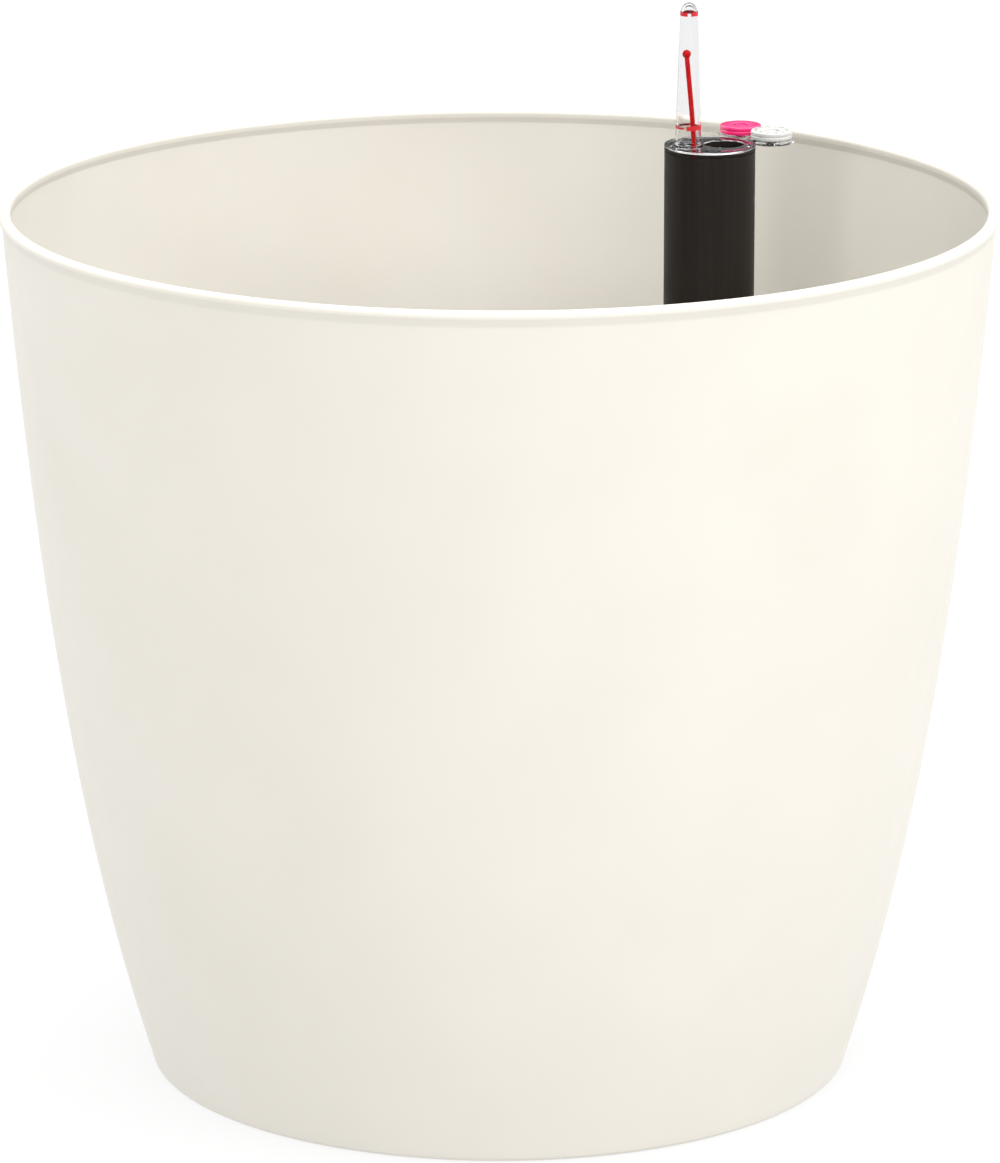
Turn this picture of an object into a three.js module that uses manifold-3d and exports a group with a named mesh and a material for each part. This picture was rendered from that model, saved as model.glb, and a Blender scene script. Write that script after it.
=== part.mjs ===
// A round self-watering planter: a tapered plastic pot with a water reservoir under a loose
// false floor, and a filling tube whose clear head carries a float gauge and two reminder dials.
// Millimetres, +Z up. The origin is on the ground at the centre of the pot.

import * as THREE from "three";
import { mergeVertices } from "three/addons/utils/BufferGeometryUtils.js";
import Module from "manifold-3d";

const manifold = await Module();
manifold.setup();

// ---------------------------------------------------------------- driving dimensions

const GAP = 0.3; // clearance where two pieces rest on each other
const PAST = 1; // how far a cutter runs past the face that it cuts

// Sides round each kind of turned piece
const POT_SEGMENTS = 60;
const PLATE_SEGMENTS = 48;
const TUBE_SEGMENTS = 40;
const RING_SEGMENTS = 32;
const SMALL_SEGMENTS = 24;
const PIN_SEGMENTS = 16;
const PEG_HOLE_SEGMENTS = 12;

// Pot
const POT_HEIGHT = 355.8;
const RIM_RADIUS = 200; // outside of the rim bead
const WALL = 3;
const WALL_TOP_RADIUS = 199.2; // outer wall, carried up to the full height
const TAPER = 27.2; // straight, bulging and tucked-in shares of the drop in radius to the base
const BELLY = 16.5;
const TUCK = 13.3;
const BEAD_HEIGHT = 4.6;
const BEAD_WIDTH = 4.7;
const BEAD_ROUND = 1.8;
const BEAD_CHAMFER = 0.5; // under the bead
const BASE_ROUND = 3;
const WALL_START = 9; // height of the first point of the wall above its round
const FOOT_INNER_RADIUS = 127;
const FOOT_DEPTH = 4; // how far the underside is raised inside the foot ring
const FLOOR_THICK = 3.5;
const FLOOR = FOOT_DEPTH + FLOOR_THICK;
const FLOOR_ROUND = 8;

// Drain plug
const DRAIN_REACH = 60;
const DRAIN_ANGLE = 165;
const DRAIN_RADIUS = 7.5;
const PLUG_RADIUS = 6.8;
const PLUG_FLANGE = 11;
const PLUG_FLANGE_THICK = 2.5;
const SEAL_THICK = 1.2;
const SEAL_RADIUS = 10.5;
const PLUG_STEM_BOTTOM = 1.6;
const PLUG_LEAD = 1; // chamfer at the stem's lower end
const PLUG_FLANGE_CHAMFER = 0.6;
const TAB_WIDTH = 14;
const TAB_THICK = 3;
const TAB_HEIGHT = 10;

// False floor, its legs and its soil wells
const PLATE_TOP = 80;
const PLATE_THICK = 3;
const PLATE_RADIUS = 154;
const LIP_HEIGHT = 8;
const LIP_FLARE = 4.5;
const LIP_THICK = 2.2;
const RIB_DEPTH = 8;
const RIB_THICK = 2;
const RIB_INNER = 24;
const RIB_OUTER = 148;
const RIB_SIDE_ANGLE = 23; // ribs pass either side of each large hole
const VENT_COUNT = 16;
const VENT_REACH = 137;
const VENT_LENGTH = 16;
const VENT_WIDTH = 3;

const WELL_ANGLES = [120, 210, 300];
const WELL_REACH = 74;
const WELL_TOP_RADIUS = 26;
const WELL_BOTTOM_RADIUS = 20;
const WELL_BOTTOM = 9;
const WELL_WALL = 2;
const WELL_CHAMFER = 1;
const WELL_FLANGE = 29.5;
const WELL_HOLE = WELL_TOP_RADIUS + 2 * GAP;
const FLANGE_THICK = 2;
const SLIT_PAIRS = 4; // slits cut right across the well, two walls at a time
const SLIT_WIDTH = 3;
const SLIT_LOW = 16;
const SLIT_HIGH = 60;

const LEG_ANGLES = [75, 165, 255, 345];
const LEG_REACH = 115;
const LEG_TOP_RADIUS = 11;
const LEG_FOOT_RADIUS = 8;
const LEG_WALL = 2;
const PEG_RADIUS = 3.9;
const PEG_CHAMFER = 0.5;
const PEG_HOLE = PEG_RADIUS + GAP;
const PEG_STAND = 1.5; // how far a leg's peg stands above the plate

// Filling tube
const TUBE_X = 85.7;
const TUBE_Y = 47.7;
const TUBE_TOP = 368;
const TUBE_RADIUS = 18.5;
const TUBE_WALL = 1.5;
const TUBE_BORE = TUBE_RADIUS - TUBE_WALL;
const FOOT_TOP = 30; // shoulder that the tube stands on
const CAGE_WALL = 1.8;
const CAGE_FLOOR = 2;
const CAGE_SPIGOT = 10;
const CAGE_SPIGOT_WALL = 0.8;
const WINDOW_PAIRS = 4;
const WINDOW_WIDTH = 6;
const WINDOW_LOW = 12;
const WINDOW_HIGH = 26;
const SOCKET_BORE = TUBE_RADIUS + 0.5; // a loose fit
const SOCKET_SPIGOT = 22;
const SOCKET_COLLAR = 21.3;
const SOCKET_FLANGE = 27;
const SOCKET_TOP = 95;
const SOCKET_BOTTOM = 74;
const SOCKET_HOLE = SOCKET_SPIGOT + GAP;

// Gauge head and sight glass; heights here are above the top of the tube
const HEAD_RADIUS = 18.6;
const HEAD_PLATE = 2; // the plate's top
const HEAD_PLATE_THICK = 1;
const HEAD_RIM = 2.4;
const HEAD_RIM_WIDTH = 1;
const SPIGOT_RADIUS = TUBE_BORE - GAP;
const SPIGOT_WALL = 1.3;
const SPIGOT_DEPTH = 9;
const FILLER_X = 5.85;
const FILLER_Y = 1.9;
const FILLER_RADIUS = 8.3;
const GLASS_X = -8.8;
const GLASS_BORE = 4.6;
const GLASS_FLANGE = 5.9;
const GLASS_FLANGE_THICK = 1.2;
const GLASS_BASE_RADIUS = 5.5;
const GLASS_TOP_RADIUS = 3.6;
const GLASS_SHOULDER = 55.8; // where the dome starts
const GLASS_TOP = 60.5;
const GLASS_WALL = 0.7;
const GLASS_FILLET = 0.4; // between the flange and the glass

// Reminder dials and the arm that carries them
const DIAL_REACH = 28.6;
const DIAL_ANGLES = { fertiliser_dial: 62.3, repotting_dial: 27.1 };
const DIAL_RADIUS = 8.45;
const DIAL_LOW = 2.2;
const DIAL_HIGH = 5.5;
const DIAL_GROOVE = 0.35;
const DIAL_CHAMFER = 0.3;
const DIAL_RECESS = 3.2;
const DIAL_RECESS_DEPTH = 1.3;
const DIAL_BORE = 1.8;
const ARM_LOW = 0.3;
const ARM_HIGH = 1.9;
const LOBE_RADIUS = 9.3;
const PIN_RADIUS = 1.5;
const PIN_HEAD = 2.4;
const PIN_HEAD_THICK = 0.6;
const PIN_TAIL = 2.2;
const PIN_TAIL_DEPTH = 0.8;
const PIN_HEAD_CHAMFER = 0.5;
const PIN_TAIL_LEAD = 0.4;

// Float and indicator rod; the rod's heights are above the top of the tube
const ROD_RADIUS = 1;
const BALL_HEIGHT = 39.4;
const BALL_RADIUS = 1.75;
const ROD_BOTTOM = 41; // height of the rod's lower end above the ground
const ROD_END_RADIUS = 2.2;
const ROD_END_THICK = 1.2;
const WASHER_RADIUS = 5;
const WASHER_THICK = 1.2;
const FLOAT_RADIUS = 6.5;
const FLOAT_HEIGHT = 26;
const FLOAT_ROUND = 1.5;

const ROD_STEPS = 28;

// Height on the rod, and how far the rod stands right of the glass's axis there: a gentle bend.
const ROD_BENDS = [
  [BALL_HEIGHT, -0.9],
  [9.7, 1.8],
  [-15, 3.1],
  [-45, 3.2],
  [-90, 2.2],
  [-140, 0.7],
  [-180, 0],
];

// ---------------------------------------------------------------- materials

function plastic(colour, roughness) {
  return new THREE.MeshStandardMaterial({ color: colour, roughness, metalness: 0 });
}

function clearPlastic() {
  const material = plastic(0xf4f7f6, 0.05);
  material.transparent = true;
  material.opacity = 0.35;
  return material;
}

const potCream = plastic(0xf1ede2, 0.45);
const insertBlack = plastic(0x2b2926, 0.6);
const tubeBlack = plastic(0x25211e, 0.4);
const gaugeClear = clearPlastic();
const gaugeRed = plastic(0xcf1620, 0.35);
const floatWhite = plastic(0xf2f2ee, 0.9);
const dialPink = plastic(0xf83a80, 0.35);
const dialWhite = plastic(0xfafaf7, 0.35);
const sealRubber = plastic(0x1d1d1d, 0.8);

// ---------------------------------------------------------------- geometry helpers

const radians = THREE.MathUtils.degToRad;

// A closed geometry as a solid that can be joined and cut.
function solid(geometry) {
  const bare = geometry.clone();
  bare.deleteAttribute("normal");
  bare.deleteAttribute("uv");
  const merged = mergeVertices(bare, 1e-4);
  const vertProperties = new Float32Array(merged.attributes.position.array);
  const triVerts = new Uint32Array(merged.index.array);
  return new manifold.Manifold(new manifold.Mesh({ numProp: 3, vertProperties, triVerts }));
}

// A solid as a geometry again.
function geometryOf(body) {
  const { vertProperties, triVerts } = body.getMesh();
  const geometry = new THREE.BufferGeometry();
  geometry.setAttribute("position", new THREE.BufferAttribute(new Float32Array(vertProperties), 3));
  geometry.setIndex(new THREE.BufferAttribute(new Uint32Array(triVerts), 1));
  geometry.computeVertexNormals();
  return geometry;
}

// Turns an outline in (radius, height) about the Z axis. It either starts and ends on the axis
// or is a loop of its own, and runs anticlockwise.
function revolve(outline, segments) {
  const points = outline.map(([r, z]) => new THREE.Vector2(r, z));
  const onAxis = points[0].x === 0;
  if (!onAxis) points.push(points[0].clone());
  return new THREE.LatheGeometry(points, segments).rotateX(Math.PI / 2);
}

// Points of an arc in (radius, height), angles in degrees, both ends included.
function arc(centreR, centreZ, radius, from, to, steps) {
  return Array.from({ length: steps + 1 }, (_, i) => {
    const angle = radians(from + ((to - from) * i) / steps);
    return [centreR + radius * Math.cos(angle), centreZ + radius * Math.sin(angle)];
  });
}

// A closed ring with a rectangular section.
function ring(inner, outer, low, high, segments) {
  return revolve([[inner, low], [outer, low], [outer, high], [inner, high]], segments);
}

// An upright solid cylinder between two heights.
function rod(radius, low, high, segments, x = 0, y = 0) {
  return new THREE.CylinderGeometry(radius, radius, high - low, segments)
    .rotateX(Math.PI / 2)
    .translate(x, y, (low + high) / 2);
}

// A box from its size and the middle of its underside, turned about Z after it is placed.
function block(sizeX, sizeY, low, high, x, angle) {
  return new THREE.BoxGeometry(sizeX, sizeY, high - low)
    .translate(x, 0, (low + high) / 2)
    .rotateZ(radians(angle));
}

function polar(reach, angle) {
  return [reach * Math.cos(radians(angle)), reach * Math.sin(radians(angle))];
}

// ---------------------------------------------------------------- pot

function wallRadius(z) {
  const t = 1 - z / POT_HEIGHT;
  return WALL_TOP_RADIUS - TAPER * t - BELLY * t ** 2 - TUCK * t ** 4;
}

function wallPoints(low, high, steps, inset) {
  return Array.from({ length: steps + 1 }, (_, i) => {
    const z = low + ((high - low) * i) / steps;
    return [wallRadius(z) - inset, z];
  });
}

function pot() {
  const lean = THREE.MathUtils.radToDeg(Math.atan2(wallRadius(BASE_ROUND) - wallRadius(0), BASE_ROUND));
  const beadLow = POT_HEIGHT - BEAD_HEIGHT;
  const beadInner = RIM_RADIUS - BEAD_WIDTH;
  const roundZ = POT_HEIGHT - BEAD_ROUND;
  const baseRoundR = wallRadius(BASE_ROUND) - BASE_ROUND;
  const floorRoundTop = FLOOR + FLOOR_ROUND;
  const floorRoundR = wallRadius(floorRoundTop) - WALL - FLOOR_ROUND * Math.cos(radians(lean));
  const outline = [
    [0, FOOT_DEPTH],
    [FOOT_INNER_RADIUS - FOOT_DEPTH / 2, FOOT_DEPTH],
    [FOOT_INNER_RADIUS, 0],
    ...arc(baseRoundR, BASE_ROUND, BASE_ROUND, -90, -lean, 3),
    ...wallPoints(WALL_START, beadLow - BEAD_CHAMFER, 10, 0),
    [RIM_RADIUS - BEAD_CHAMFER, beadLow],
    [RIM_RADIUS, beadLow + BEAD_CHAMFER],
    ...arc(RIM_RADIUS - BEAD_ROUND, roundZ, BEAD_ROUND, 0, 90, 3),
    ...arc(beadInner + BEAD_ROUND, roundZ, BEAD_ROUND, 90, 180, 3),
    [beadInner, beadLow],
    ...wallPoints(floorRoundTop, beadLow - BEAD_CHAMFER, 7, WALL).reverse(),
    ...arc(floorRoundR, floorRoundTop, FLOOR_ROUND, -lean, -90, 3),
    [0, FLOOR],
  ];
  const [x, y] = polar(DRAIN_REACH, DRAIN_ANGLE);
  const drainHole = rod(DRAIN_RADIUS, 0, FLOOR + WALL, SMALL_SEGMENTS, x, y);
  return solid(revolve(outline, POT_SEGMENTS)).subtract(solid(drainHole));
}

// ---------------------------------------------------------------- drain plug, about its own axis

const SEAL_LOW = FLOOR + GAP;
const PLUG_LOW = SEAL_LOW + SEAL_THICK + GAP;

function drainPlug() {
  const flangeTop = PLUG_LOW + PLUG_FLANGE_THICK;
  const body = revolve(
    [
      [0, PLUG_STEM_BOTTOM],
      [PLUG_RADIUS - PLUG_LEAD, PLUG_STEM_BOTTOM],
      [PLUG_RADIUS, PLUG_STEM_BOTTOM + PLUG_LEAD],
      [PLUG_RADIUS, PLUG_LOW],
      [PLUG_FLANGE, PLUG_LOW],
      [PLUG_FLANGE, flangeTop - PLUG_FLANGE_CHAMFER],
      [PLUG_FLANGE - PLUG_FLANGE_CHAMFER, flangeTop],
      [0, flangeTop],
    ],
    SMALL_SEGMENTS,
  );
  const tab = new THREE.Shape();
  const half = TAB_WIDTH / 2;
  const shoulder = flangeTop + TAB_HEIGHT - half / 2;
  const root = flangeTop - PLUG_FLANGE_THICK / 2;
  tab.moveTo(-half, root);
  tab.lineTo(half, root);
  tab.lineTo(half, shoulder);
  tab.absellipse(0, shoulder, half, half / 2, 0, Math.PI, false);
  const handle = new THREE.ExtrudeGeometry(tab, { depth: TAB_THICK, bevelEnabled: false, curveSegments: 6 })
    .translate(0, 0, -TAB_THICK / 2)
    .rotateX(Math.PI / 2);
  return solid(body).add(solid(handle));
}

// ---------------------------------------------------------------- false floor

const TUBE_ANGLE = THREE.MathUtils.radToDeg(Math.atan2(TUBE_Y, TUBE_X));

function separatorPlate() {
  const bottom = PLATE_TOP - PLATE_THICK;
  const lipTop = PLATE_TOP + LIP_HEIGHT;
  let plate = solid(
    revolve(
      [
        [0, bottom],
        [PLATE_RADIUS, bottom],
        [PLATE_RADIUS + LIP_FLARE, lipTop],
        [PLATE_RADIUS + LIP_FLARE - LIP_THICK, lipTop],
        [PLATE_RADIUS - LIP_THICK / 2, PLATE_TOP],
        [0, PLATE_TOP],
      ],
      PLATE_SEGMENTS,
    ),
  );
  const ribLength = RIB_OUTER - RIB_INNER;
  const ribMiddle = (RIB_INNER + RIB_OUTER) / 2;
  for (const hole of [...WELL_ANGLES, TUBE_ANGLE])
    for (const side of [-1, 1]) {
      const angle = hole + side * RIB_SIDE_ANGLE;
      const ribTop = bottom + PLATE_THICK / 2;
      plate = plate.add(solid(block(ribLength, RIB_THICK, bottom - RIB_DEPTH, ribTop, ribMiddle, angle)));
    }
  const holes = [
    ...WELL_ANGLES.map((angle) => [WELL_HOLE, SMALL_SEGMENTS, ...polar(WELL_REACH, angle)]),
    [SOCKET_HOLE, SMALL_SEGMENTS, TUBE_X, TUBE_Y],
    ...LEG_ANGLES.map((angle) => [PEG_HOLE, PEG_HOLE_SEGMENTS, ...polar(LEG_REACH, angle)]),
    [PEG_HOLE, PEG_HOLE_SEGMENTS, 0, 0],
  ];
  for (const [radius, segments, x, y] of holes)
    plate = plate.subtract(solid(rod(radius, bottom - PAST, PLATE_TOP + PAST, segments, x, y)));
  for (let i = 0; i < VENT_COUNT; i++) {
    const angle = ((i + 0.5) * 360) / VENT_COUNT;
    const slot = block(VENT_WIDTH, VENT_LENGTH, bottom - PAST, PLATE_TOP + PAST, VENT_REACH, angle);
    plate = plate.subtract(solid(slot));
  }
  return plate;
}

function soilWell() {
  const flangeLow = PLATE_TOP + GAP;
  const top = flangeLow + FLANGE_THICK;
  let well = solid(
    revolve(
      [
        [0, WELL_BOTTOM],
        [WELL_BOTTOM_RADIUS - WELL_CHAMFER, WELL_BOTTOM],
        [WELL_BOTTOM_RADIUS, WELL_BOTTOM + WELL_CHAMFER],
        [WELL_TOP_RADIUS, flangeLow],
        [WELL_FLANGE, flangeLow],
        [WELL_FLANGE, top],
        [WELL_TOP_RADIUS - WELL_WALL, top],
        [WELL_BOTTOM_RADIUS - WELL_WALL, WELL_BOTTOM + WELL_WALL],
        [0, WELL_BOTTOM + WELL_WALL],
      ],
      SMALL_SEGMENTS,
    ),
  );
  for (let i = 0; i < SLIT_PAIRS; i++) {
    const angle = ((i + 0.5) * 180) / SLIT_PAIRS;
    const slit = block(4 * WELL_TOP_RADIUS, SLIT_WIDTH, SLIT_LOW, SLIT_HIGH, 0, angle);
    well = well.subtract(solid(slit));
  }
  return well;
}

function supportLeg() {
  const foot = FLOOR + GAP;
  const shoulder = PLATE_TOP - PLATE_THICK - GAP;
  const pegTop = PLATE_TOP + PEG_STAND;
  return revolve(
    [
      [0, shoulder - LEG_WALL],
      [LEG_TOP_RADIUS - LEG_WALL, shoulder - LEG_WALL],
      [LEG_FOOT_RADIUS - LEG_WALL, foot],
      [LEG_FOOT_RADIUS, foot],
      [LEG_TOP_RADIUS, shoulder],
      [PEG_RADIUS, shoulder],
      [PEG_RADIUS, pegTop - PEG_CHAMFER],
      [PEG_RADIUS - PEG_CHAMFER, pegTop],
      [0, pegTop],
    ],
    PIN_SEGMENTS,
  );
}

function tubeSocket() {
  const flangeLow = PLATE_TOP + GAP;
  const flangeTop = flangeLow + FLANGE_THICK;
  return revolve(
    [
      [SOCKET_BORE, SOCKET_BOTTOM],
      [SOCKET_SPIGOT, SOCKET_BOTTOM],
      [SOCKET_SPIGOT, flangeLow],
      [SOCKET_FLANGE, flangeLow],
      [SOCKET_FLANGE, flangeTop],
      [SOCKET_COLLAR, flangeTop],
      [SOCKET_COLLAR, SOCKET_TOP],
      [SOCKET_BORE, SOCKET_TOP],
    ],
    RING_SEGMENTS,
  );
}

// ---------------------------------------------------------------- filling tube, about its own axis

function tubeFoot() {
  const low = FLOOR + GAP;
  const spigotTop = FOOT_TOP + CAGE_SPIGOT;
  const spigotBore = SPIGOT_RADIUS - CAGE_SPIGOT_WALL;
  let cage = solid(
    revolve(
      [
        [0, low],
        [TUBE_RADIUS, low],
        [TUBE_RADIUS, FOOT_TOP],
        [SPIGOT_RADIUS, FOOT_TOP],
        [SPIGOT_RADIUS, spigotTop],
        [spigotBore, spigotTop],
        [spigotBore, FOOT_TOP - CAGE_WALL],
        [TUBE_RADIUS - CAGE_WALL, FOOT_TOP - CAGE_WALL],
        [TUBE_RADIUS - CAGE_WALL, low + CAGE_FLOOR],
        [0, low + CAGE_FLOOR],
      ],
      RING_SEGMENTS,
    ),
  );
  for (let i = 0; i < WINDOW_PAIRS; i++) {
    const angle = ((i + 0.5) * 180) / WINDOW_PAIRS;
    const slot = block(4 * TUBE_RADIUS, WINDOW_WIDTH, WINDOW_LOW, WINDOW_HIGH, 0, angle);
    cage = cage.subtract(solid(slot));
  }
  return cage;
}

// ---------------------------------------------------------------- gauge head, from the tube's top

function gaugeHead() {
  const spigotBore = SPIGOT_RADIUS - SPIGOT_WALL;
  const plateLow = HEAD_PLATE - HEAD_PLATE_THICK;
  let head = solid(
    revolve(
      [
        [0, plateLow],
        [spigotBore, plateLow],
        [spigotBore, -SPIGOT_DEPTH],
        [SPIGOT_RADIUS, -SPIGOT_DEPTH],
        [SPIGOT_RADIUS, 0],
        [HEAD_RADIUS, 0],
        [HEAD_RADIUS, HEAD_RIM],
        [HEAD_RADIUS - HEAD_RIM_WIDTH, HEAD_RIM],
        [HEAD_RADIUS - HEAD_RIM_WIDTH, HEAD_PLATE],
        [0, HEAD_PLATE],
      ],
      RING_SEGMENTS,
    ),
  );
  const lobes = Object.values(DIAL_ANGLES).map((angle) => polar(DIAL_REACH, angle));
  const roots = Object.values(DIAL_ANGLES).map((angle) => polar(SPIGOT_RADIUS, angle));
  for (const [x, y] of lobes) {
    const lobe = rod(LOBE_RADIUS, ARM_LOW, ARM_HIGH, SMALL_SEGMENTS, x, y);
    head = head.add(solid(lobe));
  }
  const web = new THREE.Shape([...roots, ...lobes.reverse()].map(([x, y]) => new THREE.Vector2(x, y)));
  const arm = new THREE.ExtrudeGeometry(web, { depth: ARM_HIGH - ARM_LOW, bevelEnabled: false });
  head = head.add(solid(arm.translate(0, 0, ARM_LOW)));
  const cuts = [
    [FILLER_RADIUS, RING_SEGMENTS, FILLER_X, FILLER_Y],
    [GLASS_BORE, SMALL_SEGMENTS, GLASS_X, 0],
    ...lobes.map(([x, y]) => [DIAL_BORE, PIN_SEGMENTS, x, y]),
  ];
  for (const [radius, segments, x, y] of cuts)
    head = head.subtract(solid(rod(radius, -SPIGOT_DEPTH - PAST, HEAD_RIM + PAST, segments, x, y)));
  return head;
}

// The glass narrows evenly from its base to its shoulder.
function glassRadius(z) {
  const t = z / GLASS_SHOULDER;
  return GLASS_BASE_RADIUS + (GLASS_TOP_RADIUS - GLASS_BASE_RADIUS) * t;
}

function sightGlass() {
  const low = HEAD_PLATE + GAP;
  const flangeTop = low + GLASS_FLANGE_THICK;
  const domeRise = GLASS_TOP - GLASS_SHOULDER;
  const dome = (radius, rise, from, to) =>
    arc(0, 0, 1, from, to, 5).map(([r, z]) => [radius * r, GLASS_SHOULDER + rise * z]);
  const outside = dome(GLASS_TOP_RADIUS, domeRise, 0, 90);
  const inside = dome(GLASS_TOP_RADIUS - GLASS_WALL, domeRise - GLASS_WALL, 90, 0);
  outside[outside.length - 1][0] = 0;
  inside[0][0] = 0;
  return revolve(
    [
      ...inside,
      [glassRadius(low) - GLASS_WALL, low],
      [GLASS_FLANGE, low],
      [GLASS_FLANGE, flangeTop],
      [glassRadius(flangeTop), flangeTop + GLASS_FILLET],
      ...outside,
    ],
    SMALL_SEGMENTS,
  );
}

// ---------------------------------------------------------------- dials, about their own axes

function dial() {
  const floor = DIAL_HIGH - DIAL_RECESS_DEPTH;
  const middle = (DIAL_LOW + DIAL_HIGH) / 2;
  return revolve(
    [
      [DIAL_BORE, DIAL_LOW],
      [DIAL_RADIUS - DIAL_CHAMFER, DIAL_LOW],
      [DIAL_RADIUS, DIAL_LOW + DIAL_CHAMFER],
      [DIAL_RADIUS, middle - DIAL_GROOVE],
      [DIAL_RADIUS - DIAL_GROOVE, middle],
      [DIAL_RADIUS, middle + DIAL_GROOVE],
      [DIAL_RADIUS, DIAL_HIGH - DIAL_CHAMFER],
      [DIAL_RADIUS - DIAL_CHAMFER, DIAL_HIGH],
      [DIAL_RECESS, DIAL_HIGH],
      [DIAL_RECESS, floor],
      [DIAL_BORE, floor],
    ],
    RING_SEGMENTS,
  );
}

function dialPin() {
  const headLow = DIAL_HIGH - DIAL_RECESS_DEPTH + GAP;
  const tailTop = ARM_LOW - GAP;
  return revolve(
    [
      [0, tailTop - PIN_TAIL_DEPTH],
      [PIN_TAIL - PIN_TAIL_LEAD, tailTop - PIN_TAIL_DEPTH],
      [PIN_TAIL, tailTop],
      [PIN_RADIUS, tailTop],
      [PIN_RADIUS, headLow],
      [PIN_HEAD, headLow],
      [PIN_HEAD, headLow + PIN_HEAD_THICK / 2],
      [PIN_HEAD - PIN_HEAD_CHAMFER, headLow + PIN_HEAD_THICK],
      [0, headLow + PIN_HEAD_THICK],
    ],
    PIN_SEGMENTS,
  );
}

// ---------------------------------------------------------------- float and rod, about the glass's axis

function indicatorRod() {
  const low = ROD_BOTTOM - TUBE_TOP;
  const bends = ROD_BENDS.map(([z, x]) => new THREE.Vector3(x, 0, z));
  const path = new THREE.CatmullRomCurve3([...bends, new THREE.Vector3(0, 0, low + ROD_END_THICK / 2)]);
  const section = new THREE.Shape().absarc(0, 0, ROD_RADIUS, 0, 2 * Math.PI, false);
  const stem = new THREE.ExtrudeGeometry(section, { steps: ROD_STEPS, curveSegments: 5, extrudePath: path });
  const ball = new THREE.SphereGeometry(BALL_RADIUS, PIN_SEGMENTS, PIN_SEGMENTS / 2);
  ball.translate(ROD_BENDS[0][1], 0, BALL_HEIGHT);
  const end = rod(ROD_END_RADIUS, low, low + ROD_END_THICK, PIN_SEGMENTS);
  return solid(stem).add(solid(ball)).add(solid(end));
}

const WASHER_LOW = ROD_BOTTOM + ROD_END_THICK + GAP;
const FLOAT_LOW = WASHER_LOW + WASHER_THICK + GAP;

function floatBody() {
  const top = FLOAT_LOW + FLOAT_HEIGHT;
  const side = FLOAT_RADIUS - FLOAT_ROUND;
  return revolve(
    [
      [ROD_RADIUS + GAP, FLOAT_LOW],
      ...arc(side, FLOAT_LOW + FLOAT_ROUND, FLOAT_ROUND, -90, 0, 2),
      ...arc(side, top - FLOAT_ROUND, FLOAT_ROUND, 0, 90, 2),
      [ROD_RADIUS + GAP, top],
    ],
    SMALL_SEGMENTS,
  );
}

// ---------------------------------------------------------------- assembly

const planter = new THREE.Group();
const tubeBase = new THREE.Group(); // at the foot of the tube's axis
tubeBase.position.set(TUBE_X, TUBE_Y, 0);
const tubeTop = new THREE.Group(); // at the tube's top
tubeTop.position.set(TUBE_X, TUBE_Y, TUBE_TOP);
planter.add(tubeBase, tubeTop);

function place(name, shape, material, parent, x = 0, y = 0, z = 0) {
  const geometry = shape.isBufferGeometry ? shape : geometryOf(shape);
  const mesh = new THREE.Mesh(geometry, material.clone());
  mesh.name = name;
  mesh.position.set(x, y, z);
  parent.add(mesh);
  return mesh;
}

place("pot", pot(), potCream, planter);
const drain = polar(DRAIN_REACH, DRAIN_ANGLE);
place("drain_plug", drainPlug(), insertBlack, planter, ...drain);
const seal = ring(DRAIN_RADIUS, SEAL_RADIUS, SEAL_LOW, SEAL_LOW + SEAL_THICK, SMALL_SEGMENTS);
place("drain_plug_seal", seal, sealRubber, planter, ...drain);

place("separator_plate", separatorPlate(), insertBlack, planter);
WELL_ANGLES.forEach((angle, i) => {
  const well = place("soil_well_" + (i + 1), soilWell(), insertBlack, planter, ...polar(WELL_REACH, angle));
  well.rotation.z = radians(angle);
});
LEG_ANGLES.forEach((angle, i) => {
  place("support_leg_" + (i + 1), supportLeg(), insertBlack, planter, ...polar(LEG_REACH, angle));
});
place("support_leg_center", supportLeg(), insertBlack, planter);
place("tube_socket", tubeSocket(), insertBlack, tubeBase);

place("tube_foot", tubeFoot(), insertBlack, tubeBase);
const tube = ring(TUBE_BORE, TUBE_RADIUS, FOOT_TOP + GAP, TUBE_TOP - GAP, TUBE_SEGMENTS);
place("fill_tube", tube, tubeBlack, tubeBase);

place("gauge_head", gaugeHead(), gaugeClear, tubeTop);
place("sight_glass", sightGlass(), gaugeClear, tubeTop, GLASS_X);
place("indicator_rod", indicatorRod(), gaugeRed, tubeTop, GLASS_X);
place("float", floatBody(), floatWhite, tubeBase, GLASS_X);
const washer = ring(ROD_RADIUS + GAP, WASHER_RADIUS, WASHER_LOW, WASHER_LOW + WASHER_THICK, PIN_SEGMENTS);
place("float_washer", washer, insertBlack, tubeBase, GLASS_X);

const dialColours = { fertiliser_dial: dialPink, repotting_dial: dialWhite };
for (const [name, angle] of Object.entries(DIAL_ANGLES)) {
  const centre = polar(DIAL_REACH, angle);
  place(name, dial(), dialColours[name], tubeTop, ...centre);
  place(name + "_pin", dialPin(), dialColours[name], tubeTop, ...centre);
}

export default planter;
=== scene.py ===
import math

import bmesh
import bpy
from mathutils import Matrix, Vector


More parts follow.
